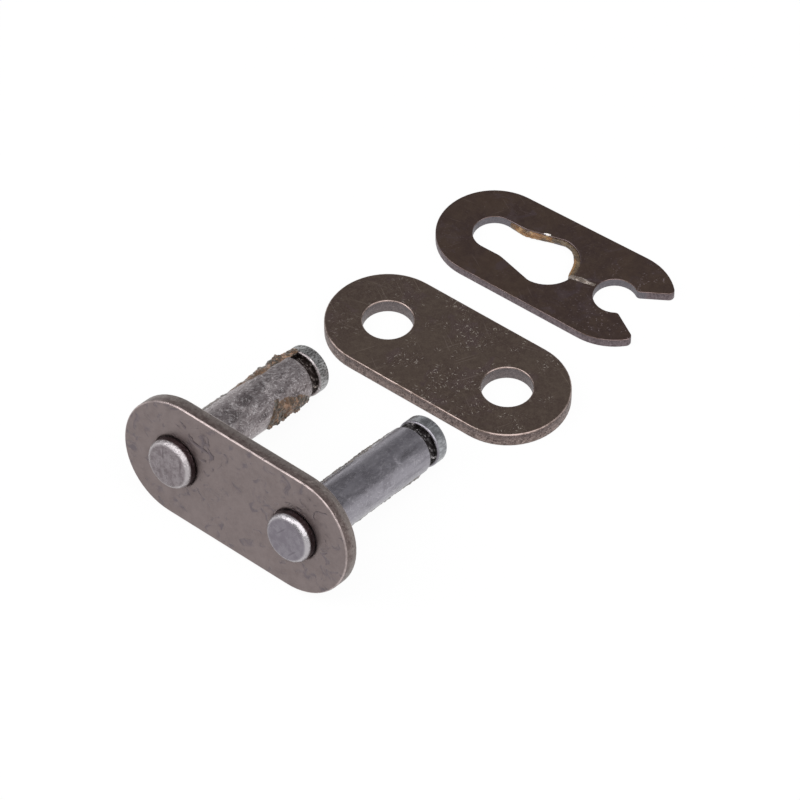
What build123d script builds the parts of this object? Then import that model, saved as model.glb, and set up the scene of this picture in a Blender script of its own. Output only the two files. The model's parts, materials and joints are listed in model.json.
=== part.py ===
from build123d import *
from math import acos, atan2, cos, degrees, hypot, radians, sin, sqrt, tan
import os

# Connecting link of a roller chain, taken apart and laid out on a flat surface.
# The pin link leans on its plate and its pin tips, and the cover plate and the clip lie flat behind it.
# X runs along the chain, Y from the pin link to the clip, Z up. Sizes in millimetres, turns in degrees.

# Chain
pitch = 9.525
gap_between_plates = 9.45

# Link plates
plate_height = 8.20
plate_thickness = 1.05
plate_edge_round = 0.12
cover_hole_round = 0.10
cover_hole_clearance = 0.02
rivet_recess_round = 0.15

# Pins, each riveted into the outer plate at its head end
pin_diameter = 3.28
head_height = 0.80
head_swell = 0.06
head_round = 0.45
groove_depth = 0.33
groove_lip_round = 0.12
tip_length = 0.96
tip_round = 0.16

# Spring clip
clip_thickness = 0.65
clip_edge_round = 0.05
clip_closed_wall = 2.42
clip_fork_wall = 2.53
clip_bridge = 1.75
clip_slot_straight = 1.46
clip_slot_bend = 1.50
key_corner_round = 1.00
fork_setback = 0.15
fork_squeeze = 0.20
fork_angle = 31
fork_neck_round = 0.30
fork_tip_round = 0.38

# Fits between the clip and the pins
clip_groove_play = 0.10
clip_seat_clearance = 0.15
clip_entry_clearance = 0.52
cover_seat_play = 0.05

# Places on the surface, measured from the pin link
link_to_cover_gap = 2.42
cover_to_clip_gap = 2.69
cover_shift = 0.97
cover_turn = 1.3
clip_shift = 1.32
clip_turn = 2.6

# Radii and places that follow from these sizes
plate_radius = plate_height / 2
pin_radius = pin_diameter / 2
head_radius = pin_radius + head_swell
groove_radius = pin_radius - groove_depth
cover_hole_radius = pin_radius + cover_hole_clearance
groove_start = plate_thickness + gap_between_plates + plate_thickness + cover_seat_play
groove_end = groove_start + clip_thickness + clip_groove_play
pin_end = groove_end + tip_length
hole_places = [-pitch / 2, pitch / 2]

seat_radius = groove_radius + clip_seat_clearance
key_radius = pin_radius + clip_entry_clearance
closed_x, fork_x = hole_places
key_x = fork_x - seat_radius - clip_bridge - key_radius
neck_half_gap = groove_radius - fork_squeeze
neck_x = fork_x + sqrt(seat_radius**2 - neck_half_gap**2)

standing = (Align.CENTER, Align.CENTER, Align.MIN)
same_place = 1e-4


def plate_blank():
    """Flat plate with round ends and softened rims, lying on Z = 0 and centred between its holes."""
    with BuildPart() as blank:
        with BuildSketch():
            SlotCenterToCenter(pitch, plate_height)
        extrude(amount=plate_thickness)
        fillet(blank.faces().filter_by(Axis.Z).edges(), plate_edge_round)
    return blank.part


def round_edges(part, radius):
    """The circular edges of this radius."""
    circles = part.edges().filter_by(GeomType.CIRCLE)
    return circles.filter_by(lambda edge: abs(edge.radius - radius) < same_place)


def make_outer_plate():
    """Plate whose holes widen towards the riveted heads, with its front face on Z = 0."""
    with BuildPart() as plate:
        add(plate_blank())
        with Locations(*[(x, 0, 0) for x in hole_places]):
            Cone(head_radius, pin_radius, plate_thickness, align=standing, mode=Mode.SUBTRACT)
        fillet(round_edges(plate, head_radius), rivet_recess_round)
    return plate.part


def make_cover_plate():
    """Plate with two plain holes that slip over the pins."""
    with BuildPart() as plate:
        add(plate_blank())
        with Locations(*[(x, 0, 0) for x in hole_places]):
            Cylinder(cover_hole_radius, plate_thickness, align=standing, mode=Mode.SUBTRACT)
        fillet(round_edges(plate, cover_hole_radius), cover_hole_round)
    return plate.part


def make_pin():
    """Turned pin along Z, from its riveted head below Z = 0 to the tip beyond the clip groove."""
    # Each corner is a radius, a place along the pin and the rounding of that corner.
    corners = [
        (head_radius, -head_height, head_round),
        (head_radius, 0, 0),
        (pin_radius, plate_thickness, 0),
        (pin_radius, groove_start, groove_lip_round),
        (groove_radius, groove_start, 0),
        (groove_radius, groove_end, 0),
        (pin_radius, groove_end, groove_lip_round),
        (pin_radius, pin_end, tip_round),
    ]
    outline = [(0, -head_height)] + [(r, z) for r, z, _ in corners] + [(0, pin_end)]
    with BuildPart() as pin:
        with BuildSketch(Plane.XZ):
            with BuildLine():
                FilletPolyline(*outline, radius=[rounding for _, _, rounding in corners])
                Line(outline[-1], outline[0])
            make_face()
        revolve(axis=Axis.Z)
    return pin.part


def keyhole():
    """Clip opening: a seat for the closed end that widens into the circle that passes a pin tip."""
    bend_x = closed_x + clip_slot_straight
    with BuildSketch() as opening:
        with BuildLine():
            ThreePointArc((closed_x, -seat_radius), (closed_x - seat_radius, 0), (closed_x, seat_radius))
            Polyline((closed_x, seat_radius), (bend_x, seat_radius), (key_x, key_radius))
            ThreePointArc((key_x, key_radius), (key_x + key_radius, 0), (key_x, -key_radius))
            Polyline((key_x, -key_radius), (bend_x, -seat_radius), (closed_x, -seat_radius))
        make_face()
        for x, rounding in [(bend_x, clip_slot_bend), (key_x, key_corner_round)]:
            corners = opening.vertices().filter_by(lambda corner: abs(corner.X - x) < same_place)
            fillet(corners, rounding)
    return opening.sketch


def fork_mouth():
    """Wedge that opens from the neck of the fork to beyond its tips."""
    reach = clip_fork_wall + seat_radius
    mouth_half_gap = neck_half_gap + reach * tan(radians(fork_angle))
    with BuildSketch() as mouth:
        with BuildLine():
            Polyline((fork_x, -neck_half_gap), (neck_x, -neck_half_gap), (neck_x + reach, -mouth_half_gap),
                     (neck_x + reach, mouth_half_gap), (neck_x, neck_half_gap), (fork_x, neck_half_gap),
                     close=True)
        make_face()
    return mouth.sketch


def make_spring_clip():
    """Flat clip with a closed end, a keyhole and a fork, lying on Z = 0."""
    with BuildPart() as clip:
        with BuildSketch() as outline:
            with Locations((closed_x, 0)):
                Circle(seat_radius + clip_closed_wall)
            with Locations((fork_x - fork_setback, 0)):
                Circle(seat_radius + clip_fork_wall)
            make_hull()
            add(keyhole(), mode=Mode.SUBTRACT)
            with Locations((fork_x, 0)):
                Circle(seat_radius, mode=Mode.SUBTRACT)
            add(fork_mouth(), mode=Mode.SUBTRACT)
            fillet(outline.vertices().filter_by(lambda corner: abs(corner.X - neck_x) < same_place), fork_neck_round)
            fillet(outline.vertices().sort_by(Axis.X)[-2:], fork_tip_round)
        extrude(amount=clip_thickness)
        fillet(clip.faces().filter_by(Axis.Z).edges(), clip_edge_round)
    return clip.part


# Lean of the pin link: it touches the surface with the back lower rim of its plate and with both pin tips.
rise = plate_radius - pin_radius - plate_edge_round + tip_round
run = pin_end - plate_thickness - tip_round + plate_edge_round
lean = acos((tip_round - plate_edge_round) / hypot(rise, run)) - atan2(run, rise)
front_height = (
    (plate_radius - plate_edge_round) * cos(lean)
    + (plate_thickness - plate_edge_round) * sin(lean)
    + plate_edge_round
)
tip_reach = (pin_end - tip_round) * cos(lean) + (pin_radius - tip_round) * sin(lean) + tip_round

# The pins are made along Z, so the link turns until they point along Y and then leans down by its own angle.
link_place = Location((0, 0, front_height)) * Rotation(-90 - degrees(lean), 0, 0)
cover_y = tip_reach + link_to_cover_gap + plate_radius
clip_y = cover_y + plate_radius + cover_to_clip_gap + seat_radius + clip_fork_wall
cover_place = Location((cover_shift, cover_y, 0), (0, 0, cover_turn))
clip_place = Location((clip_shift, clip_y, 0), (0, 0, clip_turn))

pieces = {"outer_plate": link_place * make_outer_plate()}
for side, x in zip(["left", "right"], hole_places):
    pieces[f"pin_{side}"] = link_place * Location((x, 0, 0)) * make_pin()
pieces["cover_plate"] = cover_place * make_cover_plate()
pieces["spring_clip"] = clip_place * make_spring_clip()

# The origin is the middle of the whole set's footprint, on the surface.
extent = Compound(list(pieces.values())).bounding_box()
to_origin = Location((-extent.center().X, -extent.center().Y, -extent.min.Z))

os.makedirs("parts", exist_ok=True)
for name, piece in pieces.items():
    export_step(to_origin * piece, f"parts/{name}.step")
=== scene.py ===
import json
import bpy
from math import cos, radians, sin
from mathutils import Matrix, Vector


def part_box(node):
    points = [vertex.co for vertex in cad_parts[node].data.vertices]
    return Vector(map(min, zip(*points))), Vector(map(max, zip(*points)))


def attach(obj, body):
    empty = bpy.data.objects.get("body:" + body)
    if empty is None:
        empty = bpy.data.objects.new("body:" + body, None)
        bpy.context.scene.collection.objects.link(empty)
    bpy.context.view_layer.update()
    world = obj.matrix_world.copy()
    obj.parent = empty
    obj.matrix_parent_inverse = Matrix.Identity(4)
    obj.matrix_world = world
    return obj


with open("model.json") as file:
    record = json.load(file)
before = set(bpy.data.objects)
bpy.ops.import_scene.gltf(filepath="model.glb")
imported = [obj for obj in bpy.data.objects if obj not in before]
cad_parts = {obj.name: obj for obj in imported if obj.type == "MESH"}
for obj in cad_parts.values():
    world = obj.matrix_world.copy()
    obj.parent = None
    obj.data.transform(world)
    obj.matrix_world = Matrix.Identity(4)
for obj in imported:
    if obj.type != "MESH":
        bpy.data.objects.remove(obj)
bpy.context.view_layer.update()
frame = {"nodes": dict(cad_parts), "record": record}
nodes = frame["nodes"]
mounts = {mount["name"]: mount for mount in frame["record"]["mounts"]}
mm = 0.001
scene = bpy.context.scene
scene.view_settings.view_transform = "Standard"
print("frame loaded:", ", ".join(sorted(nodes)))


# Places of the three loose things, read from the frame. Each has its own Z along the thickness.

def placeFrom(origin, along, up):
    z = up.normalized()
    x = (along - along.dot(z) * z).normalized()
    turn = Matrix((x, z.cross(x), z)).transposed().to_4x4()
    return Matrix.Translation(origin) @ turn


def flatPlace(leftMount, rightMount):
    left = Vector(mounts[leftMount]["pos_m"])
    right = Vector(mounts[rightMount]["pos_m"])
    middle = (left + right) / 2
    return placeFrom(Vector((middle.x, middle.y, 0)), right - left, Vector((0, 0, 1)))


def boxHeight(node):
    low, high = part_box(node)
    return high.z - low.z


plateThickness = boxHeight("cover_plate")
clipThickness = boxHeight("spring_clip")
coverPlace = flatPlace("cover_hole_left", "cover_hole_right")
clipPlace = flatPlace("clip_seat", "clip_fork")

pinAxis = Vector(mounts["pin_left_shank"]["axis"])
pinRadius = mounts["pin_left_shank"]["dims"]["r_mm"] * mm
shankLength = mounts["pin_left_shank"]["dims"]["length_mm"] * mm
pinMiddles = [Vector(mounts[name]["pos_m"]) for name in ("pin_left_shank", "pin_right_shank")]
alongLink = pinMiddles[1] - pinMiddles[0]
halfPitch = alongLink.length / 2
toFront = pinAxis * (plateThickness + shankLength / 2)
linkPlace = placeFrom((pinMiddles[0] + pinMiddles[1]) / 2 - toFront, alongLink, pinAxis)
pinPlaces = [linkPlace @ Matrix.Translation((side * halfPitch, 0, 0)) for side in (-1, 1)]

# The clip groove, measured in millimetres along a pin from the front of the outer plate
grooveLip = 0.12
groovePlay = 0.1
grooveStart = (plateThickness + shankLength) / mm + grooveLip
grooveEnd = grooveStart + clipThickness / mm + groovePlay


# Camera at the photograph's angle

cameraLook = {
    "azimuth": 38.765,
    "elevation": 48.062,
    "distance": 334.7 * mm,
    "lens": 237.34,
    "target": Vector((0.067, -1.323, 0)) * mm,
}


def directionTo(azimuth, elevation):
    a, e = radians(azimuth), radians(elevation)
    return Vector((sin(a) * cos(e), -cos(a) * cos(e), sin(e)))


def makeCamera(look):
    data = bpy.data.cameras.new("studioCamera")
    data.lens = look["lens"]
    data.clip_start = 0.01
    camera = bpy.data.objects.new("studioCamera", data)
    back = directionTo(look["azimuth"], look["elevation"])
    camera.location = look["target"] + back * look["distance"]
    camera.rotation_euler = (-back).to_track_quat("-Z", "Y").to_euler()
    scene.collection.objects.link(camera)
    scene.camera = camera


makeCamera(cameraLook)
print("camera placed")


# Node helper, for materials and for Geometry Nodes

class Graph:
    # A stroke's share of its cell, and how far the grid moves with each degree of its turn
    strokeSpan = 0.4
    gridShift = (0.37, 0.23)

    def __init__(self, tree):
        self.tree = tree
        tree.nodes.clear()

    def add(self, kind, inputs=None, **settings):
        node = self.tree.nodes.new(kind)
        for name, value in settings.items():
            setattr(node, name, value)
        for key, value in (inputs or {}).items():
            self.feed(node.inputs[key], value)
        return node

    def feed(self, socket, value):
        if isinstance(value, bpy.types.NodeSocket):
            self.tree.links.new(value, socket)
        else:
            socket.default_value = value

    def math(self, operation, a, b=0.0):
        return self.add("ShaderNodeMath", {0: a, 1: b}, operation=operation).outputs[0]

    def both(self, first, *others):
        for other in others:
            first = self.math("MULTIPLY", first, other)
        return first

    def vector(self, operation, a, b):
        return self.add("ShaderNodeVectorMath", {0: a, 1: b}, operation=operation).outputs[0]

    def scale(self, vector, factor):
        return self.add("ShaderNodeVectorMath", {0: vector, "Scale": factor}, operation="SCALE").outputs[0]

    def parts(self, vector):
        return self.add("ShaderNodeSeparateXYZ", {0: vector}).outputs

    def noise(self, vector, size, detail=3.0, roughness=0.55, stretch=(1, 1, 1), bend=0.0):
        scaled = self.add("ShaderNodeMapping", {"Vector": vector, "Scale": [s / size for s in stretch]})
        inputs = {
            "Vector": scaled.outputs[0],
            "Scale": 1.0,
            "Detail": detail,
            "Roughness": roughness,
            "Distortion": bend,
        }
        return self.add("ShaderNodeTexNoise", inputs).outputs[0]

    def step(self, value, low, high, toLow=0.0, toHigh=1.0):
        inputs = {"Value": value, "From Min": low, "From Max": high, "To Min": toLow, "To Max": toHigh}
        return self.add("ShaderNodeMapRange", inputs, interpolation_type="SMOOTHSTEP").outputs[0]

    def band(self, value, start, end, soft):
        above = self.step(value, start - soft, start + soft)
        below = self.step(value, end - soft, end + soft, 1.0, 0.0)
        return self.both(above, below)

    def mix(self, factor, first, second):
        node = self.add("ShaderNodeMix", data_type="RGBA")
        self.feed(node.inputs[0], factor)
        self.feed(node.inputs[6], first)
        self.feed(node.inputs[7], second)
        return node.outputs[2]

    # Short straight marks: one in each cell of a stretched grid, kept where the cell's luck is high enough
    def strokes(self, vector, length, width, turn, share):
        inputs = {
            "Vector": vector,
            "Location": (turn * self.gridShift[0], turn * self.gridShift[1], 0),
            "Rotation": (0, 0, radians(turn)),
            "Scale": (length / self.strokeSpan, width / self.strokeSpan, 1),
        }
        placed = self.add("ShaderNodeMapping", inputs, vector_type="TEXTURE").outputs[0]
        cells = self.add("ShaderNodeTexVoronoi", {"Vector": placed, "Scale": 1.0}, voronoi_dimensions="2D")
        core = self.step(cells.outputs["Distance"], 0.06, self.strokeSpan / 2, 1.0, 0.0)
        luck = self.add("ShaderNodeSeparateColor", {0: cells.outputs["Color"]}).outputs[0]
        return self.both(core, self.step(luck, 1 - share, 1 - share + 0.02))

    def manyStrokes(self, vector, length, width, turns, share):
        marks = 0.0
        for turn in turns:
            marks = self.math("MAXIMUM", self.strokes(vector, length, width, turn, share), marks)
        return marks


def paint(red, green, blue):
    def linear(value):
        value /= 255
        return value / 12.92 if value <= 0.04045 else ((value + 0.055) / 1.055) ** 2.4
    return (linear(red), linear(green), linear(blue), 1.0)


def newMaterial(name):
    material = bpy.data.materials.new(name)
    material.use_nodes = True
    graph = Graph(material.node_tree)
    shader = graph.add("ShaderNodeBsdfPrincipled")
    output = graph.add("ShaderNodeOutputMaterial")
    graph.feed(output.inputs["Surface"], shader.outputs[0])
    return material, graph, shader


def localPoint(graph, place):
    toLocal = place.inverted()
    inputs = {
        "Vector": graph.add("ShaderNodeTexCoord").outputs["Object"],
        "Location": toLocal.translation / mm,
        "Rotation": toLocal.to_euler(),
        "Scale": (1 / mm, 1 / mm, 1 / mm),
    }
    return graph.add("ShaderNodeMapping", inputs).outputs[0]


def localNormal(graph, place):
    normal = graph.add("ShaderNodeTexCoord").outputs["Normal"]
    inputs = {"Vector": normal, "Rotation": place.inverted().to_euler()}
    return graph.add("ShaderNodeMapping", inputs, vector_type="VECTOR").outputs[0]


def bumpOn(graph, shader, height):
    bump = graph.add("ShaderNodeBump", {"Height": height, "Distance": mm, "Strength": 1.0})
    graph.feed(shader.inputs["Normal"], bump.outputs[0])


# Finish of the stamped plates and the clip: sizes in millimetres, colours in sRGB

speckTurns = (18, 74, -38)
hairTurns = (12, -31, 61)
hairWidth = 0.045
holeReach = (1.8, 2.2)


def stampedSteel(name, place, thickness, look):
    material, graph, shader = newMaterial(name)
    point = localPoint(graph, place)
    x, y, z = graph.parts(point)[0:3]
    upright = graph.math("ABSOLUTE", graph.parts(localNormal(graph, place))[2])
    wall = graph.step(upright, 0.05, 0.45, 1.0, 0.0)
    rim = graph.band(upright, look["rimFrom"], look["rimTo"], 0.08)

    tone = graph.noise(point, look["toneSize"], 4.0, 0.6)
    mottle = graph.noise(point, look["mottleSize"], 4.0, 0.6)
    grain = graph.noise(point, look["grainSize"], 3.0, 0.7)
    face = graph.mix(graph.step(tone, 0.35, 0.65), paint(*look["face"]), paint(*look["faceShade"]))
    face = graph.mix(graph.step(mottle, 0.4, 0.68, 0.0, look["mottleMix"]), face, paint(*look["mottleColor"]))
    face = graph.mix(graph.step(grain, 0.35, 0.75, 0.0, look["grainMix"]), face, paint(*look["grainColor"]))

    smudges = graph.noise(point, look["smudgeSize"], 3.0, 0.5, bend=1.2)
    smudges = graph.step(smudges, 0.55, 0.7, 0.0, look["smudgeMix"])
    face = graph.mix(smudges, face, paint(*look["smudgeColor"]))

    patches = graph.noise(point, look["patchSize"], 2.0)
    patches = graph.step(patches, look["patchFrom"], look["patchFrom"] + 0.12)
    patches = graph.both(patches, graph.step(x, look["speckFrom"], look["speckTo"], look["speckLeast"], 1.0))
    specks = graph.manyStrokes(point, look["speckLength"], look["speckWidth"], speckTurns, look["speckShare"])
    dust = graph.noise(point, look["dustSize"], 2.0, 0.6)
    specks = graph.math("MAXIMUM", specks, graph.step(dust, 0.64, 0.71, 0.0, look["dustMix"]))
    specks = graph.both(specks, patches)
    face = graph.mix(graph.both(specks, look["speckMix"]), face, paint(*look["speckColor"]))

    bent = graph.vector("ADD", point, graph.vector("MULTIPLY", graph.noise(point, 3.0, 1.0), (0.5, 0.5, 0)))
    hairs = graph.manyStrokes(bent, look["hairLength"], hairWidth, hairTurns, look["hairShare"])
    face = graph.mix(graph.both(hairs, look["hairMix"]), face, paint(*look["hairColor"]))

    # A dark ring round each pin hole: painted shade in the crevice where the pin meets the plate
    ringX = graph.math("SUBTRACT", graph.math("ABSOLUTE", x), halfPitch / mm)
    ring = graph.math("SQRT", graph.math("ADD", graph.both(ringX, ringX), graph.both(y, y)))
    holeShadeEdge = graph.math("ADD", ring, graph.both(graph.math("SUBTRACT", mottle, 0.5), -0.35))
    grimeAndShade = graph.both(graph.step(holeShadeEdge, look["holeShadeFrom"], look["holeShadeTo"], 1.0, 0.0), look["holeShadeMix"])
    face = graph.mix(grimeAndShade, face, paint(*look["holeShadeColor"]))

    # The punched wall is smooth near one face and torn near the other
    streaks = graph.noise(point, look["streakSize"], 3.0, 0.6, stretch=(1, 1, 0.25))
    blots = graph.noise(point, look["blotSize"], 3.0, 0.65, stretch=(1, 1, 1.6))
    wallColor = graph.mix(graph.step(streaks, 0.38, 0.66), paint(*look["wall"]), paint(*look["wallShade"]))
    blotted = graph.step(blots, 0.4, 0.66, 0.0, look["blotMix"])
    wallColor = graph.mix(blotted, wallColor, paint(*look["blotColor"]))
    depth = graph.math("DIVIDE", z, thickness / mm)
    edge = graph.math("ADD", depth, graph.both(graph.math("SUBTRACT", blots, 0.5), 0.7))
    torn = graph.step(edge, look["tornFrom"], look["tornTo"])
    wallColor = graph.mix(graph.both(torn, look["tornMix"]), wallColor, paint(*look["tornColor"]))
    crumbs = graph.step(graph.noise(point, look["crumbSize"], 1.0), 0.62, 0.7, 0.0, look["crumbMix"])
    wallColor = graph.mix(crumbs, wallColor, paint(*look["crumbColor"]))
    pits = graph.step(graph.noise(point, look["pitSize"], 2.0, 0.6), 0.58, 0.68, 0.0, look["pitMix"])
    wallColor = graph.mix(pits, wallColor, paint(*look["pitColor"]))
    holeWall = graph.both(graph.step(ring, *holeReach, 1.0, 0.0), look["holeMix"])
    wallColor = graph.mix(holeWall, wallColor, paint(*look["holeColor"]))
    # The rounded rim is painted lighter: partly edge wear, partly a painted highlight that strengthens the
    # lamp's line along the edge
    rimWearAndHighlight = graph.step(graph.noise(point, 0.6, 3.0), 0.35, 0.6, look["rimLeast"], look["rimMost"])

    color = graph.mix(wall, face, wallColor)
    color = graph.mix(graph.both(rim, rimWearAndHighlight), color, paint(*look["rim"]))
    graph.feed(shader.inputs["Base Color"], color)

    rough = graph.step(mottle, 0.3, 0.7, look["roughLow"], look["roughHigh"])
    rough = graph.math("ADD", rough, graph.both(wall, look["wallRougher"]))
    rough = graph.math("SUBTRACT", rough, graph.both(rim, look["rimSmoother"]))
    graph.feed(shader.inputs["Roughness"], rough)
    shader.inputs["Metallic"].default_value = look["metallic"]

    dents = graph.noise(point, look["dentSize"], 3.0, 0.5)
    relief = graph.math("ADD", graph.both(dents, look["dentDepth"]), graph.both(grain, look["grainDepth"]))
    relief = graph.math("ADD", relief, graph.both(wall, blots, look["blotDepth"]))
    relief = graph.math("SUBTRACT", relief, graph.both(smudges, look["smudgeDepth"]))
    relief = graph.math("SUBTRACT", relief, graph.both(specks, look["speckDepth"]))
    bumpOn(graph, shader, relief)
    return material


plateLook = {
    "face": (118, 107, 106), "faceShade": (110, 99, 98), "toneSize": 2.2,
    "mottleSize": 0.5, "mottleColor": (126, 115, 114), "mottleMix": 0.5,
    "grainSize": 0.12, "grainColor": (128, 118, 116), "grainMix": 0.4,
    "smudgeSize": 0.9, "smudgeColor": (92, 85, 92), "smudgeMix": 0.7, "smudgeDepth": 0.04,
    "patchSize": 3.0, "patchFrom": 0.44,
    "speckLength": 0.22, "speckWidth": 0.07, "speckShare": 0.03, "speckMix": 0.4,
    "speckColor": (84, 76, 76), "speckFrom": -9.0, "speckTo": 9.0, "speckLeast": 0.8, "speckDepth": 0.003,
    "dustSize": 0.08, "dustMix": 0.25,
    "hairLength": 2.0, "hairShare": 0.03, "hairMix": 0.3, "hairColor": (90, 82, 84),
    "holeShadeFrom": 1.72, "holeShadeTo": 1.95, "holeShadeMix": 0.6, "holeShadeColor": (68, 55, 55),
    "holeMix": 0.0, "holeColor": (110, 104, 104),
    "streakSize": 0.16, "wall": (98, 85, 82), "wallShade": (112, 99, 96),
    "blotSize": 0.45, "blotColor": (132, 120, 117), "blotMix": 0.5, "blotDepth": 0.04,
    "tornFrom": 0.3, "tornTo": 0.8, "tornMix": 0.75, "tornColor": (138, 130, 126),
    "crumbSize": 0.1, "crumbColor": (160, 150, 146), "crumbMix": 0.35,
    "pitSize": 0.18, "pitColor": (74, 62, 60), "pitMix": 0.5,
    "rimFrom": 0.22, "rimTo": 0.95, "rim": (176, 162, 160), "rimLeast": 0.45, "rimMost": 1.0,
    "roughLow": 0.36, "roughHigh": 0.44, "wallRougher": 0.06, "rimSmoother": 0.1, "metallic": 0.9,
    "dentSize": 0.9, "dentDepth": 0.03, "grainDepth": 0.0012,
}
coverLook = {
    "face": (94, 80, 73), "faceShade": (86, 71, 66), "toneSize": 3.2,
    "mottleSize": 0.3, "mottleColor": (104, 91, 81), "mottleMix": 0.45,
    "grainSize": 0.10, "grainColor": (116, 104, 92), "grainMix": 0.5,
    "smudgeSize": 1.6, "smudgeColor": (98, 82, 84), "smudgeMix": 0.45, "smudgeDepth": 0.004,
    "patchSize": 1.5, "patchFrom": 0.46,
    "speckLength": 0.26, "speckWidth": 0.05, "speckShare": 0.16, "speckMix": 0.9,
    "speckColor": (198, 188, 178), "speckFrom": -6.0, "speckTo": -1.5, "speckLeast": 0.4, "speckDepth": 0.003,
    "dustSize": 0.065, "dustMix": 0.9,
    "hairLength": 2.2, "hairShare": 0.06, "hairMix": 0.45, "hairColor": (150, 136, 126),
    "holeShadeFrom": 1.66, "holeShadeTo": 1.8, "holeShadeMix": 0.3, "holeShadeColor": (60, 50, 46),
    "holeMix": 0.7, "holeColor": (108, 102, 104),
    "streakSize": 0.16, "wall": (122, 106, 101), "wallShade": (82, 70, 67),
    "blotSize": 0.3, "blotColor": (152, 136, 131), "blotMix": 0.7, "blotDepth": 0.05,
    "tornFrom": 0.5, "tornTo": 0.85, "tornMix": 0.6, "tornColor": (86, 75, 75),
    "crumbSize": 0.1, "crumbColor": (188, 174, 168), "crumbMix": 0.6,
    "pitSize": 0.18, "pitColor": (64, 52, 51), "pitMix": 0.85,
    "rimFrom": 0.4, "rimTo": 0.92, "rim": (176, 158, 152), "rimLeast": 0.25, "rimMost": 1.0,
    "roughLow": 0.34, "roughHigh": 0.44, "wallRougher": 0.1, "rimSmoother": 0.08, "metallic": 0.9,
    "dentSize": 1.2, "dentDepth": 0.012, "grainDepth": 0.0016,
}
clipLook = {
    "face": (84, 68, 60), "faceShade": (75, 60, 57), "toneSize": 2.4,
    "mottleSize": 0.45, "mottleColor": (90, 75, 64), "mottleMix": 0.4,
    "grainSize": 0.11, "grainColor": (94, 80, 71), "grainMix": 0.35,
    "smudgeSize": 1.5, "smudgeColor": (92, 79, 84), "smudgeMix": 0.45, "smudgeDepth": 0.004,
    "patchSize": 1.6, "patchFrom": 0.43,
    "speckLength": 0.18, "speckWidth": 0.06, "speckShare": 0.16, "speckMix": 0.8,
    "speckColor": (176, 160, 163), "speckFrom": 1.5, "speckTo": 7.0, "speckLeast": 0.15, "speckDepth": 0.003,
    "dustSize": 0.07, "dustMix": 0.6,
    "hairLength": 1.6, "hairShare": 0.04, "hairMix": 0.4, "hairColor": (130, 114, 110),
    "holeShadeFrom": 0.0, "holeShadeTo": 0.01, "holeShadeMix": 0.0, "holeShadeColor": (60, 50, 46),
    "holeMix": 0.6, "holeColor": (108, 108, 114),
    "streakSize": 0.14, "wall": (110, 98, 101), "wallShade": (86, 75, 78),
    "blotSize": 0.3, "blotColor": (130, 118, 122), "blotMix": 0.55, "blotDepth": 0.03,
    "tornFrom": 0.5, "tornTo": 0.9, "tornMix": 0.4, "tornColor": (88, 78, 80),
    "crumbSize": 0.09, "crumbColor": (166, 154, 156), "crumbMix": 0.5,
    "pitSize": 0.15, "pitColor": (66, 55, 56), "pitMix": 0.6,
    "rimFrom": 0.45, "rimTo": 0.9, "rim": (136, 120, 120), "rimLeast": 0.1, "rimMost": 0.85,
    "roughLow": 0.36, "roughHigh": 0.46, "wallRougher": 0.08, "rimSmoother": 0.04, "metallic": 0.9,
    "dentSize": 1.1, "dentDepth": 0.010, "grainDepth": 0.0014,
}


# Finish of the pins: satin shank, dark groove, mottled riveted head

markTurns = (24, 52, -33)
grooveFloor = (1.47, 1.6)
# Height band of the painted reflection streak on the side of the head
sideStreakBand = (-0.24, -0.12)


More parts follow.
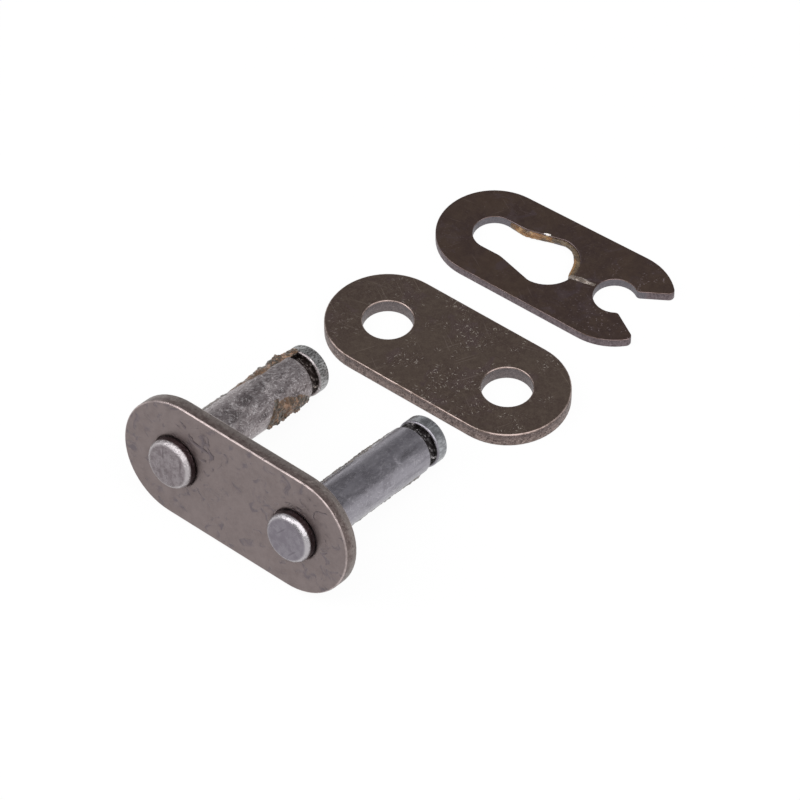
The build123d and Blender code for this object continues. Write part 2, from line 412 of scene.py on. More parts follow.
def pinSteel(name, place, look):
    material, graph, shader = newMaterial(name)
    point = localPoint(graph, place)
    x, y, z = graph.parts(point)[0:3]
    facing = graph.math("ABSOLUTE", graph.parts(localNormal(graph, place))[2])
    around = graph.math("MULTIPLY", graph.math("ARCTAN2", y, x), pinRadius / mm)
    unrolled = graph.add("ShaderNodeCombineXYZ", {0: around, 1: z, 2: 0.0}).outputs[0]
    reach = graph.math("SQRT", graph.math("ADD", graph.both(x, x), graph.both(y, y)))
    head = graph.step(z, -0.05, 0.05, 1.0, 0.0)

    bands = graph.noise(point, look["bandSize"], 3.0, 0.6, stretch=(1, 1, 0.18))
    satin = graph.noise(point, look["satinSize"], 4.0, 0.65, stretch=(1, 1, 0.3))
    blots = graph.noise(point, look["blotSize"], 4.0, 0.62, stretch=(1, 1, 0.6), bend=0.6)
    fine = graph.noise(point, look["fineSize"], 3.0, 0.7)
    color = graph.mix(graph.step(bands, 0.38, 0.64), paint(*look["shank"]), paint(*look["shankShade"]))
    color = graph.mix(graph.step(satin, 0.4, 0.7, 0.0, look["satinMix"]), color, paint(*look["satinColor"]))
    color = graph.mix(graph.step(blots, 0.34, 0.46, look["stainMix"], 0.0), color, paint(*look["stainColor"]))
    scuffed = graph.step(blots, 0.5, 0.66)
    scuffs = graph.both(scuffed, graph.step(fine, 0.42, 0.6))
    color = graph.mix(graph.both(scuffs, look["scuffMix"]), color, paint(*look["scuffColor"]))
    marks = graph.manyStrokes(unrolled, look["markLength"], look["markWidth"], markTurns, look["markShare"])
    color = graph.mix(graph.both(marks, look["markMix"]), color, paint(*look["markColor"]))
    nicks = graph.noise(point, look["nickSize"], 3.0, 0.65, stretch=(1, 1, 0.7))
    color = graph.mix(graph.step(nicks, 0.34, 0.42, look["nickMix"], 0.0), color, paint(*look["nickColor"]))
    color = graph.mix(graph.step(nicks, 0.56, 0.66, 0.0, look["nickMix"]), color, paint(*look["markColor"]))

    # Dirt in the groove, with a few painted glints as bright specks, and the paler tip beyond it
    groove = graph.band(z, grooveStart - 0.02, grooveEnd + 0.05, 0.04)
    groove = graph.both(groove, graph.step(reach, *grooveFloor, 1.0, 0.0))
    lip = graph.band(z, grooveStart - look["lipWidth"], grooveStart, 0.1)
    grooveStain = graph.math("MAXIMUM", groove, graph.both(lip, look["lipMix"], graph.step(satin, 0.35, 0.6)))
    glints = graph.noise(point, 0.16, 2.0, 0.6, stretch=(0.35, 0.35, 1.0))
    glints = graph.step(glints, 0.6, 0.66, 0.0, look["glintMix"])
    caked = graph.noise(point, 0.2, 4.0, 0.7, stretch=(0.6, 0.6, 1.0))
    dirtAndGlints = graph.mix(graph.step(caked, 0.48, 0.68), paint(*look["dirtColor"]), paint(*look["dirtPale"]))
    dirtAndGlints = graph.mix(glints, dirtAndGlints, paint(*look["glintColor"]))
    tip = graph.step(z, grooveEnd + 0.06, grooveEnd + 0.12)
    tipColor = graph.mix(graph.step(satin, 0.36, 0.62), paint(*look["tip"]), paint(*look["tipShade"]))
    color = graph.mix(tip, color, tipColor)
    color = graph.mix(grooveStain, color, dirtAndGlints)

    mottle = graph.noise(point, look["mottleSize"], 4.0, 0.6)
    headColor = graph.mix(graph.step(mottle, 0.36, 0.64), paint(*look["head"]), paint(*look["headShade"]))
    cuts = graph.strokes(point, look["cutLength"], look["cutWidth"], look["cutTurn"], look["cutShare"])
    cuts = graph.both(cuts, look["cutMix"])
    headColor = graph.mix(cuts, headColor, paint(*look["cutAndStreakColor"]))
    # The rounded rim of the head is painted lighter: a painted highlight that widens the crescent
    headRimHighlight = graph.step(facing, 0.8, 0.99, look["rimMix"], 0.0)
    headColor = graph.mix(headRimHighlight, headColor, paint(*look["headRimHighlight"]))
    color = graph.mix(head, color, headColor)
    # The side of the head is painted dark: painted shade and dark reflection below the rim
    headSideShade = graph.both(head, graph.step(facing, 0.1, 0.4, 1.0, 0.0))
    # A pale streak along the side near the plate: a painted reflection of the plate, in the colour of the cuts
    sideStreakReflection = graph.both(graph.band(z, *sideStreakBand, 0.03), graph.step(satin, 0.48, 0.56), 0.7)
    sideShadeColor = graph.mix(sideStreakReflection, paint(*look["headSideShade"]), paint(*look["cutAndStreakColor"]))
    color = graph.mix(headSideShade, color, sideShadeColor)
    graph.feed(shader.inputs["Base Color"], color)

    rough = graph.step(blots, 0.35, 0.7, look["roughLow"], look["roughHigh"])
    rough = graph.math("ADD", rough, graph.both(grooveStain, 0.15))
    graph.feed(shader.inputs["Roughness"], rough)
    shader.inputs["Metallic"].default_value = look["metallic"]

    relief = graph.math("ADD", graph.both(satin, look["satinDepth"]), graph.both(scuffs, look["scuffDepth"]))
    relief = graph.math("ADD", relief, graph.both(nicks, look["nickDepth"]))
    relief = graph.math("ADD", relief, graph.both(mottle, head, look["mottleDepth"]))
    relief = graph.math("ADD", relief, graph.both(fine, grooveStain, look["dirtDepth"]))
    relief = graph.math("SUBTRACT", relief, graph.both(cuts, head, look["cutDepth"]))
    bumpOn(graph, shader, relief)
    return material


leftPinLook = {
    "shank": (150, 141, 142), "shankShade": (128, 119, 120), "bandSize": 0.5,
    "satinSize": 0.09, "satinColor": (176, 168, 169), "satinMix": 0.7,
    "blotSize": 0.75, "stainColor": (92, 84, 85), "stainMix": 0.6, "fineSize": 0.07,
    "scuffColor": (206, 200, 201), "scuffMix": 0.7,
    "markLength": 0.4, "markWidth": 0.06, "markShare": 0.3, "markMix": 0.7, "markColor": (224, 219, 220),
    "nickSize": 0.13, "nickColor": (74, 66, 67), "nickMix": 0.6, "nickDepth": 0.03,
    "lipWidth": 0.35, "lipMix": 0.3,
    "dirtColor": (48, 40, 38), "dirtPale": (140, 130, 127),
    "glintColor": (214, 204, 198), "glintMix": 0.9, "dirtDepth": 0.05,
    "tip": (182, 182, 182), "tipShade": (96, 94, 93),
    "head": (142, 134, 137), "headShade": (118, 109, 112), "mottleSize": 0.32,
    "cutLength": 1.3, "cutWidth": 0.16, "cutShare": 0.35, "cutTurn": 82,
    "cutMix": 0.7, "cutAndStreakColor": (92, 82, 86), "cutDepth": 0.02,
    "headRimHighlight": (186, 180, 182), "rimMix": 0.85, "headSideShade": (80, 66, 68),
    "roughLow": 0.27, "roughHigh": 0.42, "metallic": 1.0,
    "satinDepth": 0.006, "scuffDepth": 0.012, "mottleDepth": 0.1,
}
rightPinLook = {
    "shank": (148, 145, 152), "shankShade": (130, 127, 134), "bandSize": 0.6,
    "satinSize": 0.12, "satinColor": (160, 157, 165), "satinMix": 0.4,
    "blotSize": 1.0, "stainColor": (114, 110, 116), "stainMix": 0.5, "fineSize": 0.08,
    "scuffColor": (184, 181, 187), "scuffMix": 0.35,
    "markLength": 0.6, "markWidth": 0.05, "markShare": 0.07, "markMix": 0.45, "markColor": (200, 197, 202),
    "nickSize": 0.13, "nickColor": (110, 107, 113), "nickMix": 0.3, "nickDepth": 0.006,
    "lipWidth": 0.1, "lipMix": 0.1,
    "dirtColor": (46, 42, 43), "dirtPale": (138, 134, 135),
    "glintColor": (224, 220, 221), "glintMix": 0.95, "dirtDepth": 0.05,
    "tip": (168, 170, 173), "tipShade": (126, 127, 130),
    "head": (134, 129, 136), "headShade": (121, 115, 123), "mottleSize": 0.5,
    "cutLength": 1.3, "cutWidth": 0.16, "cutShare": 0.35, "cutTurn": -52,
    "cutMix": 0.55, "cutAndStreakColor": (98, 92, 100), "cutDepth": 0.015,
    "headRimHighlight": (186, 182, 185), "rimMix": 0.85, "headSideShade": (78, 66, 68),
    "roughLow": 0.26, "roughHigh": 0.36, "metallic": 1.0,
    "satinDepth": 0.003, "scuffDepth": 0.005, "mottleDepth": 0.07,
}


def dress(node, material):
    for slot in nodes[node].material_slots:
        slot.material = material


dress("outer_plate", stampedSteel("plateSteel", linkPlace, plateThickness, plateLook))
dress("cover_plate", stampedSteel("coverSteel", coverPlace, plateThickness, coverLook))
dress("spring_clip", stampedSteel("clipSteel", clipPlace, clipThickness, clipLook))
dress("pin_left", pinSteel("leftPinSteel", pinPlaces[0], leftPinLook))
dress("pin_right", pinSteel("rightPinSteel", pinPlaces[1], rightPinLook))
print("steel finished")


# Old grease and grime: a patch is laid on the steel, and Geometry Nodes turn it into a torn sheet or lumps

def newTree(name, kinds):
    tree = bpy.data.node_groups.new(name, "GeometryNodeTree")
    keys = {}
    for label, kind in kinds.items():
        socket = tree.interface.new_socket(name=label, in_out="INPUT", socket_type="NodeSocket" + kind)
        keys[label] = socket.identifier
    tree.interface.new_socket(name="Crust", in_out="OUTPUT", socket_type="NodeSocketGeometry")
    graph = Graph(tree)
    return graph, keys, graph.add("NodeGroupInput").outputs


# The patch is worked on in millimetres, and scaled back at the end
def enlarge(graph, patch):
    inputs = {"Geometry": patch, "Scale": (1 / mm, 1 / mm, 1 / mm)}
    return graph.add("GeometryNodeTransform", inputs).outputs[0]


def finishTree(graph, crust, material):
    crust = graph.add("GeometryNodeSetShadeSmooth", {"Geometry": crust}).outputs[0]
    small = graph.add("GeometryNodeTransform", {"Geometry": crust, "Scale": (mm, mm, mm)}).outputs[0]
    real = graph.add("GeometryNodeRealizeInstances", {"Geometry": small}).outputs[0]
    done = graph.add("GeometryNodeSetMaterial", {"Geometry": real, "Material": material}).outputs[0]
    graph.add("NodeGroupOutput", {0: done})
    return graph.tree


def savedValue(graph, name):
    return graph.add("GeometryNodeInputNamedAttribute", {"Name": name}, data_type="FLOAT").outputs[0]


# A sheet rises in torn steps, and what falls below the steel is cut away
def sheetTree():
    kinds = {
        "Patch": "Geometry", "Cuts": "Int", "Side": "Float", "Clod size": "Float", "Tear size": "Float",
        "Tear": "Float", "Thin": "Float", "Seed": "Float", "Finish": "Material",
    }
    graph, keys, given = newTree("sheet", kinds)
    inputs = {"Mesh": enlarge(graph, given["Patch"]), "Level": given["Cuts"]}
    fine = graph.add("GeometryNodeSubdivideMesh", inputs).outputs[0]
    place = graph.vector("ADD", graph.add("GeometryNodeInputPosition").outputs[0], given["Seed"])
    clodScale = graph.math("DIVIDE", 1.0, given["Clod size"])
    inputs = {"Vector": place, "Scale": clodScale, "Detail": 2.0, "Distortion": 0.7}
    clods = graph.add("ShaderNodeTexNoise", inputs).outputs[0]
    lowStep = graph.step(clods, 0.40, 0.46, 0.35, 0.65)
    steps = graph.math("ADD", lowStep, graph.step(clods, 0.52, 0.57, 0.0, 0.35))
    tearScale = graph.math("DIVIDE", 1.0, given["Tear size"])
    inputs = {"Vector": place, "Scale": tearScale, "Detail": 4.0, "Roughness": 0.6}
    tears = graph.math("SUBTRACT", graph.add("ShaderNodeTexNoise", inputs).outputs[0], 0.5)
    rise = graph.math("ADD", steps, graph.both(tears, given["Tear"]))
    height = graph.math("SUBTRACT", graph.both(savedValue(graph, "depth"), rise), given["Thin"])
    outward = graph.add("GeometryNodeInputNormal").outputs[0]
    offset = graph.scale(outward, graph.both(height, given["Side"]))
    inputs = {"Geometry": fine, "Name": "height", "Value": height}
    sheet = graph.add("GeometryNodeStoreNamedAttribute", inputs, data_type="FLOAT").outputs[0]
    sheet = graph.add("GeometryNodeSetPosition", {"Geometry": sheet, "Offset": offset}).outputs[0]
    under = graph.math("LESS_THAN", savedValue(graph, "height"), -0.03)
    inputs = {"Geometry": sheet, "Selection": under}
    sheet = graph.add("GeometryNodeDeleteGeometry", inputs, domain="POINT").outputs[0]
    return finishTree(graph, sheet, given["Finish"]), keys


# Lumps are scattered over the patch, melted into one crust and given a ripple
def crumbTree():
    kinds = {
        "Patch": "Geometry", "Density": "Float", "Lump": "Float", "Least": "Float", "Lift": "Float",
        "Sink": "Float", "Grid": "Float", "Blur": "Int", "Ripple": "Float", "Ripple size": "Float",
        "Seed": "Int", "Finish": "Material",
    }
    graph, keys, given = newTree("crumbs", kinds)
    inputs = {"Mesh": enlarge(graph, given["Patch"]), "Density": given["Density"], "Seed": given["Seed"]}
    spread = graph.add("GeometryNodeDistributePointsOnFaces", inputs)
    depth = savedValue(graph, "depth")
    other = graph.math("ADD", given["Seed"], 7.0)
    size = graph.add("FunctionNodeRandomValue", {2: 0.5, 3: 1.0, 8: other}, data_type="FLOAT").outputs[1]
    radius = graph.both(size, graph.math("ADD", graph.both(depth, given["Lump"]), given["Least"]))
    inputs = {2: 0.0, 3: given["Lift"], 8: given["Seed"]}
    raised = graph.add("FunctionNodeRandomValue", inputs, data_type="FLOAT").outputs[1]
    raised = graph.math("SUBTRACT", graph.both(depth, raised), graph.both(radius, given["Sink"]))
    inputs = {"Geometry": spread.outputs[0], "Offset": graph.scale(spread.outputs["Normal"], raised)}
    points = graph.add("GeometryNodeSetPosition", inputs).outputs[0]
    inputs = {"Points": points, "Density": 1.0, "Voxel Size": given["Grid"], "Radius": radius}
    cloud = graph.add("GeometryNodePointsToVolume", inputs, resolution_mode="VOXEL_SIZE").outputs[0]
    crust = graph.add("GeometryNodeVolumeToMesh", {"Volume": cloud, "Threshold": 0.15}).outputs[0]
    where = graph.add("GeometryNodeInputPosition").outputs[0]
    inputs = {"Value": where, "Iterations": given["Blur"]}
    evened = graph.add("GeometryNodeBlurAttribute", inputs, data_type="FLOAT_VECTOR").outputs[0]
    crust = graph.add("GeometryNodeSetPosition", {"Geometry": crust, "Position": evened}).outputs[0]
    rippleScale = graph.math("DIVIDE", 1.0, given["Ripple size"])
    inputs = {"Vector": where, "Scale": rippleScale, "Detail": 2.5, "Roughness": 0.55}
    ripple = graph.math("SUBTRACT", graph.add("ShaderNodeTexNoise", inputs).outputs[0], 0.5)
    outward = graph.add("GeometryNodeInputNormal").outputs[0]
    offset = graph.scale(outward, graph.both(ripple, given["Ripple"]))
    crust = graph.add("GeometryNodeSetPosition", {"Geometry": crust, "Offset": offset}).outputs[0]
    return finishTree(graph, crust, given["Finish"]), keys


trees = {"sheet": sheetTree(), "crumbs": crumbTree()}


def blend(a, b, part):
    if isinstance(a, (int, float)):
        return a + (b - a) * part
    return tuple(blend(c, d, part) for c, d in zip(a, b))


# A row of a patch has a spot at each end and the depth of the dirt at both. Rows between are blended.
def blendRows(rows, count):
    blended = [blend(a, b, step / count) for a, b in zip(rows, rows[1:]) for step in range(count)]
    return blended + [rows[-1]]


def patchMesh(name, rows, columns, spotOn):
    points, depths, faces = [], [], []
    for first, last, firstDepth, lastDepth in rows:
        for column in range(columns + 1):
            part = column / columns
            points.append(spotOn([a + (b - a) * part for a, b in zip(first, last)]))
            ease = min(1.0, 3 * part, 3 * (1 - part))
            depths.append((firstDepth + (lastDepth - firstDepth) * part) * ease)
    for row in range(len(rows) - 1):
        for column in range(columns):
            corner = row * (columns + 1) + column
            faces.append((corner, corner + columns + 1, corner + columns + 2, corner + 1))
    mesh = bpy.data.meshes.new(name)
    mesh.from_pydata(points, [], faces)
    mesh.attributes.new("depth", "FLOAT", "POINT").data.foreach_set("value", depths)
    return mesh


def growCrust(name, rows, columns, spotOn, look, finish):
    piece = bpy.data.objects.new(name, patchMesh(name, rows, columns, spotOn))
    scene.collection.objects.link(piece)
    modifier = piece.modifiers.new("crust", "NODES")
    modifier.node_group, keys = trees[look["tree"]]
    for label, key in keys.items():
        if label not in ("Patch", "Finish"):
            modifier[key] = look[label]
    modifier[keys["Finish"]] = finish
    shaped = piece.evaluated_get(bpy.context.evaluated_depsgraph_get())
    made = bpy.data.meshes.new_from_object(shaped)
    piece.modifiers.clear()
    piece.data = made
    made.name = name
    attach(piece, "root")
    print(name, "has", len(made.polygons), "faces")


# A spot on a pin is an angle round it and a place along it, in degrees and millimetres

def onPin(place, radius=pinRadius):
    def spot(values):
        angle, along = radians(values[0]), values[1] * mm
        return place @ Vector((radius * cos(angle), -radius * sin(angle), along))
    return spot


def onClip(values):
    return clipPlace @ (Vector(values) * mm)


greaseBody = {"scatter": (1.0, 0.55, 0.3), "scatterDepth": 0.25 * mm, "coatRoughness": 0.25}


def greaseFinish(name, look):
    material, graph, shader = newMaterial(name)
    inputs = {"Vector": graph.add("ShaderNodeTexCoord").outputs["Object"], "Scale": (1 / mm, 1 / mm, 1 / mm)}
    point = graph.add("ShaderNodeMapping", inputs).outputs[0]
    large = graph.noise(point, look["toneSize"], 3.0, 0.6, bend=0.8)
    small = graph.noise(point, look["toneSize"] / 3, 3.0, 0.55)
    color = graph.mix(graph.step(large, 0.38, 0.6), paint(*look["dark"]), paint(*look["middle"]))
    pale = graph.both(graph.step(small, 0.5, 0.68), look["lightMix"])
    color = graph.mix(pale, color, paint(*look["light"]))
    graph.feed(shader.inputs["Base Color"], color)
    graph.feed(shader.inputs["Roughness"], graph.step(small, 0.3, 0.7, look["roughLow"], look["roughHigh"]))
    shader.inputs["Subsurface Weight"].default_value = look["glow"]
    shader.inputs["Subsurface Radius"].default_value = greaseBody["scatter"]
    shader.inputs["Subsurface Scale"].default_value = greaseBody["scatterDepth"]
    shader.inputs["Coat Weight"].default_value = look["wet"]
    shader.inputs["Coat Roughness"].default_value = greaseBody["coatRoughness"]
    bumpOn(graph, shader, graph.both(small, look["relief"]))
    return material


# The crust's pale spots (light) are partly paler grease and partly painted highlights of the wet grease
crustLook = {
    "tree": "sheet", "Cuts": 2, "Side": 1.0,
    "Clod size": 0.75, "Tear size": 0.3, "Tear": 1.3, "Thin": 0.02, "Seed": 4.0,
    "toneSize": 1.1, "dark": (56, 46, 35), "middle": (96, 72, 51), "light": (160, 128, 106), "lightMix": 0.85,
    "roughLow": 0.28, "roughHigh": 0.5, "glow": 0.35, "wet": 0.3, "relief": 0.03,
}
upperCrust = [
    ((134, 6.6), (146, 6.6), 0.03, 0.04), ((126, 7.4), (150, 7.4), 0.07, 0.08),
    ((116, 8.2), (152, 8.2), 0.10, 0.14), ((108, 8.9), (154, 8.9), 0.14, 0.28),
    ((108, 9.5), (154, 9.5), 0.14, 0.30), ((112, 10.1), (152, 10.1), 0.10, 0.16),
    ((108, 10.7), (152, 10.7), 0.16, 0.32), ((108, 11.3), (152, 11.3), 0.18, 0.36),
    ((104, 11.9), (150, 11.9), 0.20, 0.32), ((104, 12.3), (142, 12.3), 0.14, 0.22),
    ((108, 12.6), (132, 12.6), 0.05, 0.07),
]
lowerCrust = [
    ((-30, 7.3), (6, 7.3), 0.12, 0.08), ((-40, 7.7), (22, 7.7), 0.24, 0.12),
    ((-48, 8.3), (37, 8.1), 0.36, 0.12), ((-52, 8.9), (36, 8.8), 0.40, 0.09),
    ((-52, 9.6), (30, 9.6), 0.44, 0.09), ((-50, 10.3), (19, 10.3), 0.40, 0.09),
    ((-44, 10.9), (7, 10.9), 0.30, 0.10), ((-34, 11.35), (-6, 11.3), 0.14, 0.08),
]
crustRidge = [
    ((40, 8.0), (38, 8.5), 0.14, 0.14), ((24, 7.7), (22, 8.3), 0.20, 0.18),
    ((6, 7.4), (4, 8.1), 0.24, 0.20), ((-12, 7.2), (-14, 7.9), 0.26, 0.22),
    ((-28, 7.3), (-30, 7.8), 0.26, 0.22),
]
crust = greaseFinish("oldGrease", crustLook)
onLeftPin = onPin(pinPlaces[0])
onRightPin = onPin(pinPlaces[1])
growCrust("greaseUpper", blendRows(upperCrust, 5), 12, onLeftPin, crustLook, crust)
growCrust("greaseLower", blendRows(lowerCrust, 6), 20, onLeftPin, crustLook, crust)
growCrust("greaseRidge", blendRows(crustRidge, 4), 6, onLeftPin, crustLook, crust)

grimeLook = {
    "tree": "sheet", "Cuts": 2, "Side": 1.0,
    "Clod size": 0.5, "Tear size": 0.2, "Tear": 2.6, "Thin": 0.035, "Seed": 11.0,
    "toneSize": 0.5, "dark": (78, 71, 67), "middle": (118, 111, 108), "light": (168, 162, 159), "lightMix": 0.7,
    "roughLow": 0.35, "roughHigh": 0.6, "glow": 0.1, "wet": 0.2, "relief": 0.01,
}
grimeAndShade = greaseFinish("pinGrime", grimeLook)
leftGrime = [
    ((120, 1.0), (164, 1.0), 0.02, 0.02), ((116, 1.6), (166, 1.6), 0.09, 0.09),
    ((120, 3.0), (166, 3.0), 0.08, 0.11), ((118, 4.6), (164, 4.6), 0.07, 0.10),
    ((122, 6.0), (162, 6.0), 0.08, 0.09), ((126, 6.6), (158, 6.6), 0.02, 0.02),
]
rightUpperGrime = [
    ((124, 1.0), (164, 1.0), 0.02, 0.02), ((122, 1.6), (166, 1.6), 0.07, 0.08),
    ((124, 4.5), (164, 4.5), 0.06, 0.08), ((118, 7.4), (164, 7.4), 0.08, 0.11),
    ((118, 8.3), (164, 8.3), 0.09, 0.14), ((126, 9.2), (162, 9.2), 0.06, 0.08),
    ((126, 11.0), (162, 11.0), 0.06, 0.07), ((130, 11.5), (158, 11.5), 0.02, 0.02),
]
rightLowerGrime = [
    ((-62, 1.0), (-20, 1.0), 0.02, 0.02), ((-64, 1.6), (-16, 1.6), 0.11, 0.07),
    ((-64, 3.0), (-18, 3.0), 0.13, 0.07), ((-62, 6.0), (-22, 6.0), 0.08, 0.06),
    ((-62, 8.5), (-20, 8.5), 0.08, 0.06), ((-64, 10.4), (-16, 10.4), 0.14, 0.08),
    ((-60, 11.1), (-20, 11.1), 0.09, 0.06), ((-54, 11.5), (-26, 11.5), 0.02, 0.02),
]
growCrust("grimeLeft", blendRows(leftGrime, 12), 10, onLeftPin, grimeLook, grimeAndShade)
growCrust("grimeRightUpper", blendRows(rightUpperGrime, 12), 10, onRightPin, grimeLook, grimeAndShade)
growCrust("grimeRightLower", blendRows(rightLowerGrime, 12), 10, onRightPin, grimeLook, grimeAndShade)

# A dark ring in the recess round each riveted head: painted shade for the crevice where the head meets the
# plate
seamLook = {
    "tree": "crumbs", "Density": 300.0, "Lump": 0.2, "Least": 0.055, "Lift": 0.3, "Sink": 0.0,
    "Grid": 0.025, "Blur": 8, "Ripple": 0.04, "Ripple size": 0.6, "Seed": 11, "ringRadius": 1.74,
    "toneSize": 0.5, "dark": (76, 60, 60), "middle": (96, 78, 77), "light": (122, 104, 101), "lightMix": 0.5,
    "roughLow": 0.4, "roughHigh": 0.6, "glow": 0.1, "wet": 0.2, "relief": 0.0,
}
seamRows = [((0, 0.16), (360, 0.16), 0.04, 0.04), ((0, 0.08), (360, 0.08), 0.03, 0.03)]
recessShade = greaseFinish("recessShade", seamLook)
for name, place in zip(["seamLeft", "seamRight"], pinPlaces):
    growCrust(name, seamRows, 48, onPin(place, seamLook["ringRadius"] * mm), seamLook, recessShade)

# The amber film hangs on the far wall of the keyhole and narrows its wide end
filmLook = {
    "tree": "sheet", "Cuts": 2, "Side": -1.0,
    "Clod size": 0.7, "Tear size": 0.3, "Tear": 1.0, "Thin": 0.01, "Seed": 23.0,
    "toneSize": 1.2, "dark": (80, 60, 40), "middle": (126, 90, 54), "light": (164, 132, 92), "lightMix": 0.8,
    "roughLow": 0.32, "roughHigh": 0.5, "glow": 0.3, "wet": 0.15, "relief": 0.01,
}
webLook = {
    "tree": "crumbs", "Density": 500.0, "Lump": 0.7, "Least": 0.07, "Lift": 0.4, "Sink": 0.0,
    "Grid": 0.03, "Blur": 8, "Ripple": 0.08, "Ripple size": 0.5, "Seed": 31,
    "toneSize": 0.8, "dark": (72, 58, 44), "middle": (90, 74, 54), "light": (122, 102, 76), "lightMix": 0.6,
    "roughLow": 0.35, "roughHigh": 0.55, "glow": 0.1, "wet": 0.1, "relief": 0.0,
}
beadLook = webLook | {
    "Density": 900.0, "Seed": 33, "Least": 0.05,
    "dark": (104, 78, 50), "middle": (134, 104, 68), "light": (176, 146, 108), "glow": 0.3,
}
smearLook = filmLook | {
    "Side": 1.0, "Clod size": 0.3, "Tear size": 0.12, "Tear": 1.2, "Seed": 37.0,
    "dark": (80, 69, 62), "middle": (112, 101, 92), "light": (184, 172, 164), "lightMix": 0.9,
    "glow": 0.1, "wet": 0.0,
}
fleckLook = webLook | {
    "Density": 200.0, "Seed": 41, "Least": 0.03,
    "dark": (214, 208, 202), "middle": (236, 232, 228), "light": (250, 248, 246),
}
top = clipThickness / mm
wallRows = [
    (-4.5, 1.42, 0.0, 0.0), (-4.1, 1.44, 0.06, 0.16), (-3.9, 1.46, 0.1, 0.3), (-3.4, 1.47, 0.14, 0.42),
    (-2.9, 1.57, 0.12, 0.36), (-2.4, 1.70, 0.1, 0.3), (-1.9, 1.82, 0.06, 0.22), (-1.4, 1.95, 0.02, 0.04),
]
wallFilm = [((x, y, top - 0.08), (x, y - lean, 0.05), 0.1, depth) for x, y, lean, depth in wallRows]
webHeight = 0.5
webRows = [
    (-1.4, 1.97, -1.45, 1.85, 0.10), (-0.6, 2.16, -0.62, 2.0, 0.12), (0.2, 2.0, 0.12, 1.84, 0.13),
    (0.72, 1.70, 0.52, 1.45, 0.14), (1.1, 1.32, 0.84, 1.05, 0.14), (1.4, 0.8, 1.02, 0.62, 0.13),
    (1.52, 0.3, 1.14, 0.2, 0.13), (1.55, -0.15, 1.24, -0.18, 0.12), (1.5, -0.5, 1.44, -0.46, 0.10),
]
webFilm = [
    ((outX, outY, webHeight), (inX, inY, webHeight - 0.15), 0.14, depth)
    for outX, outY, inX, inY, depth in webRows
]
beadSpots = [
    (0.7, 1.22), (0.92, 0.86), (1.06, 0.5), (1.15, 0.1), (1.24, -0.2), (1.4, -0.42),
]
filmBead = [((x, y, webHeight), (x + 0.1, y + 0.08, webHeight - 0.08), 0.11, 0.11) for x, y in beadSpots]
smearRows = [
    (1.4, -0.52, -0.18), (1.8, -0.46, 0.02), (2.25, -0.4, 0.1), (2.7, -0.26, 0.06), (3.2, -0.14, 0.14),
]
bridgeSmear = [((x, low, top), (x, high, top), 0.06, 0.07) for x, low, high in smearRows]
paleFleck = [
    ((-2.1, 1.78, top - 0.02), (-2.12, 1.9, top), 0.06, 0.06),
    ((-1.85, 1.82, top - 0.02), (-1.85, 1.98, top), 0.1, 0.1),
    ((-1.58, 1.92, top - 0.02), (-1.56, 2.04, top), 0.06, 0.05),
]
growCrust("filmWall", blendRows(wallFilm, 5), 6, onClip, filmLook, greaseFinish("amberFilm", filmLook))
growCrust("filmWeb", webFilm, 5, onClip, webLook, greaseFinish("brownFilm", webLook))
growCrust("filmBead", filmBead, 2, onClip, beadLook, greaseFinish("amberBead", beadLook))
growCrust("filmSmear", blendRows(bridgeSmear, 5), 8, onClip, smearLook, greaseFinish("paleSmear", smearLook))
growCrust("filmFleck", paleFleck, 3, onClip, fleckLook, greaseFinish("paleFleck", fleckLook))
print("grease laid on")


# Floor, world and lamps

studioLook = {
    "floorSize": 2.0,
    "floorGlow": 0.95,
    "floorColor": (0.9, 0.9, 0.9, 1.0),
    "skyLow": (1.0, 1.0, 1.0, 1.0),
    "skyMiddle": (0.32, 0.32, 0.325, 1.0),
    "skyHigh": (0.43, 0.43, 0.435, 1.0),
    "horizon": (0.05, 0.36),
    "overhead": (0.45, 0.7),
    "lamps": [
        {"name": "leftSoftbox", "azimuth": -42, "elevation": 42, "distance": 0.5, "size": 0.35, "watts": 0.95},
        {"name": "frontSoftbox", "azimuth": 62, "elevation": 58, "distance": 0.5, "size": 0.7, "watts": 2.8},
    ],
}


def showsBackdrop(graph):
    path = graph.add("ShaderNodeLightPath")
    seen = graph.math("MAXIMUM", path.outputs["Is Camera Ray"], path.outputs["Is Glossy Ray"])
    return graph.math("MAXIMUM", seen, path.outputs["Is Transmission Ray"])


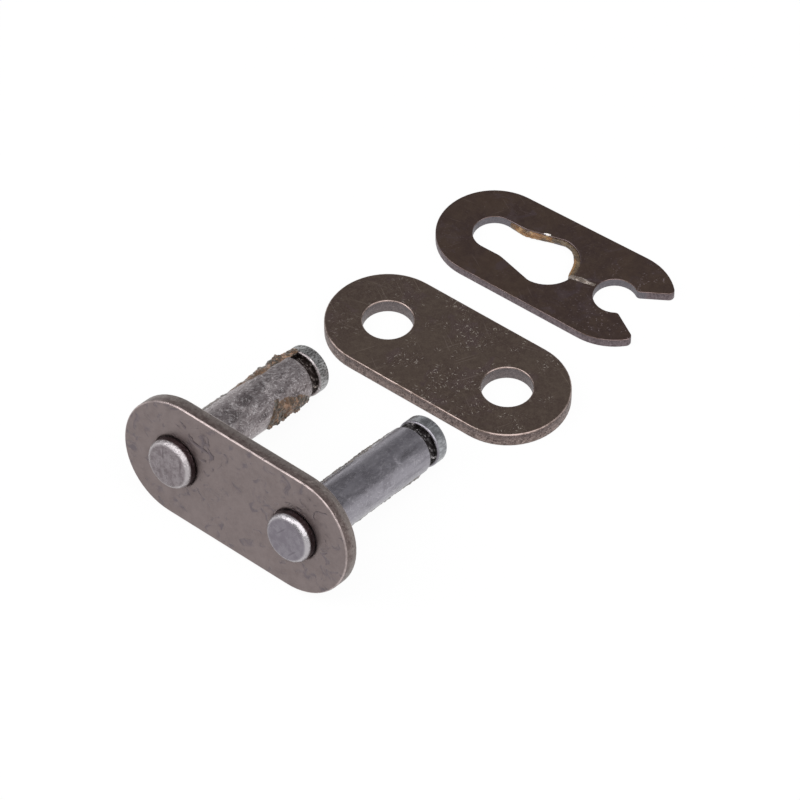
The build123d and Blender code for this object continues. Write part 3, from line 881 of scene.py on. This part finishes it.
def makeFloor(look):
    half = look["floorSize"] / 2
    mesh = bpy.data.meshes.new("floor")
    corners = [(-half, -half, 0), (half, -half, 0), (half, half, 0), (-half, half, 0)]
    mesh.from_pydata(corners, [], [(0, 1, 2, 3)])
    floor = bpy.data.objects.new("floor", mesh)
    scene.collection.objects.link(floor)
    material = bpy.data.materials.new("paleFloor")
    material.use_nodes = True
    graph = Graph(material.node_tree)
    matte = graph.add("ShaderNodeBsdfDiffuse", {"Color": look["floorColor"]}).outputs[0]
    glow = graph.add("ShaderNodeEmission", {"Color": (1, 1, 1, 1), "Strength": 1.0}).outputs[0]
    bright = graph.add("ShaderNodeMixShader", {0: look["floorGlow"], 1: matte, 2: glow}).outputs[0]
    chosen = graph.add("ShaderNodeMixShader", {0: showsBackdrop(graph), 1: matte, 2: bright}).outputs[0]
    graph.add("ShaderNodeOutputMaterial", {"Surface": chosen})
    mesh.materials.append(material)


def makeWorld(look):
    world = bpy.data.worlds.new("studio")
    world.use_nodes = True
    scene.world = world
    graph = Graph(world.node_tree)
    direction = graph.add("ShaderNodeTexCoord").outputs["Generated"]
    height = graph.parts(direction)[2]
    sky = graph.mix(graph.step(height, *look["horizon"]), look["skyLow"], look["skyMiddle"])
    sky = graph.mix(graph.step(height, *look["overhead"]), sky, look["skyHigh"])
    seen = graph.add("ShaderNodeLightPath").outputs["Is Camera Ray"]
    color = graph.mix(seen, sky, (1, 1, 1, 1))
    background = graph.add("ShaderNodeBackground", {"Color": color, "Strength": 1.0}).outputs[0]
    graph.add("ShaderNodeOutputWorld", {"Surface": background})


def makeLamp(look):
    data = bpy.data.lights.new(look["name"], "AREA")
    data.size = look["size"]
    data.energy = look["watts"]
    lamp = bpy.data.objects.new(look["name"], data)
    toLamp = directionTo(look["azimuth"], look["elevation"])
    lamp.location = toLamp * look["distance"]
    lamp.rotation_euler = (-toLamp).to_track_quat("-Z", "Y").to_euler()
    scene.collection.objects.link(lamp)


makeFloor(studioLook)
makeWorld(studioLook)
for lampLook in studioLook["lamps"]:
    makeLamp(lampLook)
print("studio lit")
